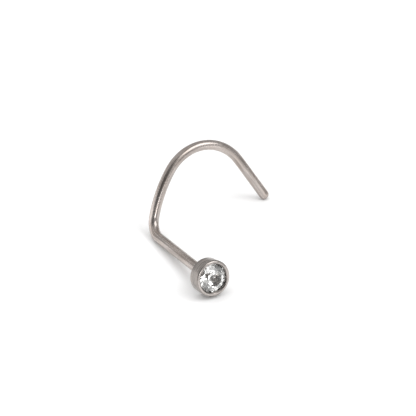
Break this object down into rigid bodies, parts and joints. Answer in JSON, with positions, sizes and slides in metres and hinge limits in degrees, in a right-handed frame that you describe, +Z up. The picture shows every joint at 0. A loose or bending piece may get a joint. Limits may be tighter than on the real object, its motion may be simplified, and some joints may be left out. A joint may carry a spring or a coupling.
{
  "type": "nose stud",
  "caption": "Nose screw stud: a faceted clear stone in a round bezel cup, soldered to a wire post that turns up into an open curl.",
  "frame": {"origin": "on the surface the stud rests on, under the middle of its bounding box", "axes": "+Z up from the surface; the bezel's back faces +Y and a little down, with the post behind it, and the curl opens towards +X; the stud lies on the bezel's edge, the corner at the post's end and the wire's tip"},
  "size_m": [0.0098, 0.01, 0.0048],
  "materials": {
    "steel": "satin polish with fine drawing marks along the wire",
    "stone": "polished facets, clear"
  },
  "bodies": {
    "root": {"bezel_post_and_curl": "steel", "stone": "stone"}
  },
  "joints": []
}
